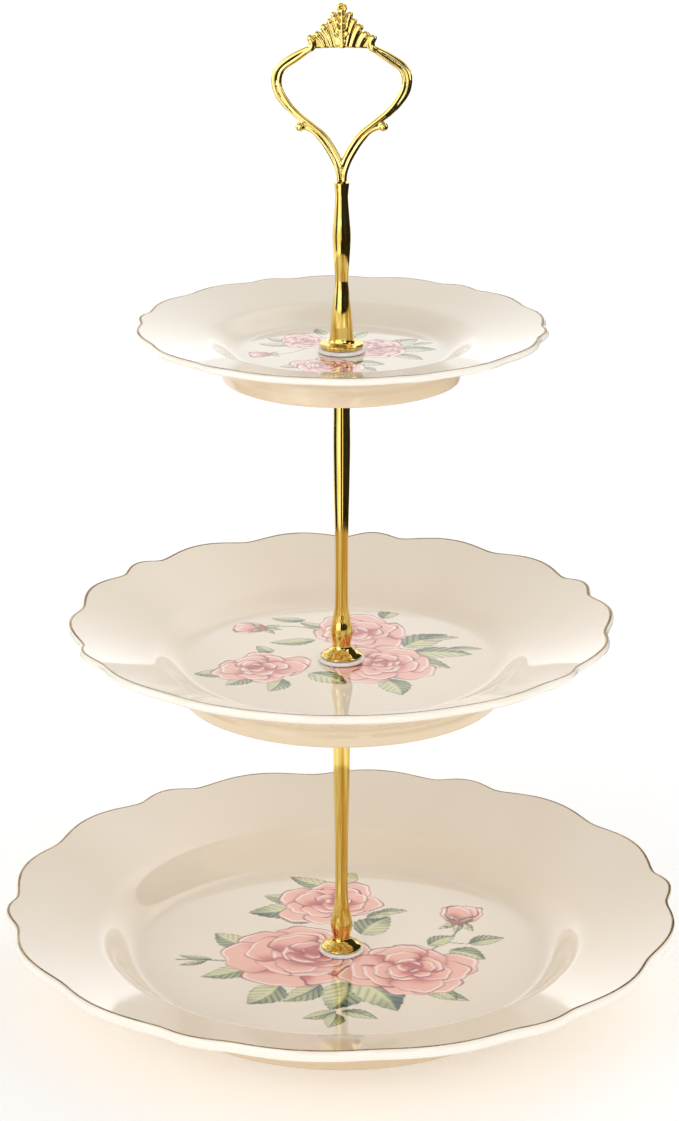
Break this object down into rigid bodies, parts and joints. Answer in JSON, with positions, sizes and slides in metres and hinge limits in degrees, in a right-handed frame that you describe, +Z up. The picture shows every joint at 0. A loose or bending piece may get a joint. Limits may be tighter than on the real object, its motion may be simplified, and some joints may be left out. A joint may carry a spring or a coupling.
{
  "type": "tiered cake stand",
  "caption": "Tiered stand: scalloped glazed plates of falling size clamped on a turned gold column with an open scroll handle that ends in a fan crown.",
  "frame": {"origin": "centre of the bottom plate's foot ring, on the surface the stand rests on", "axes": "+Z up along the column, +X along the spread of the crown handle, -Y towards the front"},
  "size_m": [0.2582, 0.2584, 0.3803],
  "materials": {
    "porcelain": "gloss cream glaze with a thin gold rim line and rose sprays",
    "gold_plate": "polished gold plate",
    "steel": "plain zinc-plated steel",
    "white_gasket": "matt white"
  },
  "bodies": {
    "bottom_tier": {"bottom_plate": "porcelain", "base_bolt": "steel", "bottom_washer": "steel", "bottom_under_gasket": "white_gasket"},
    "lower_seal": {"bottom_flange_gasket": "white_gasket"},
    "lower_column": {"lower_rod": "gold_plate", "lower_stud": "steel", "middle_washer": "steel", "middle_under_gasket": "white_gasket", "middle_plate": "porcelain"},
    "upper_seal": {"middle_flange_gasket": "white_gasket"},
    "upper_column": {"upper_rod": "gold_plate", "upper_stud": "steel", "top_washer": "steel", "top_under_gasket": "white_gasket", "top_plate": "porcelain"},
    "handle_seal": {"top_flange_gasket": "white_gasket"},
    "handle": {"handle_stem": "gold_plate", "crown_handle": "gold_plate"}
  },
  "joints": [
    {"name": "lower_rod_lift", "type": "slide", "parent": "bottom_tier", "child": "lower_seal", "axis": [0, 0, 1], "range_m": [0, 0.00841]},
    {"name": "lower_rod_unscrew", "type": "hinge", "parent": "lower_seal", "child": "lower_column", "pos_m": [0, 0, 0.0138], "axis": [0, 0, 1], "range_deg": [0, 4320]},
    {"name": "upper_rod_lift", "type": "slide", "parent": "lower_column", "child": "upper_seal", "axis": [0, 0, 1], "range_m": [0, 0.00841]},
    {"name": "upper_rod_unscrew", "type": "hinge", "parent": "upper_seal", "child": "upper_column", "pos_m": [0, 0, 0.1346], "axis": [0, 0, 1], "range_deg": [0, 4320]},
    {"name": "handle_lift", "type": "slide", "parent": "upper_column", "child": "handle_seal", "axis": [0, 0, 1], "range_m": [0, 0.00841]},
    {"name": "handle_unscrew", "type": "hinge", "parent": "handle_seal", "child": "handle", "pos_m": [0, 0, 0.2549], "axis": [0, 0, 1], "range_deg": [0, 4320]}
  ],
  "couplings": [
    {"joint": "lower_rod_lift", "follows": "lower_rod_unscrew", "m_per_rad": 0.00011141},
    {"joint": "upper_rod_lift", "follows": "upper_rod_unscrew", "m_per_rad": 0.00011141},
    {"joint": "handle_lift", "follows": "handle_unscrew", "m_per_rad": 0.00011141}
  ]
}
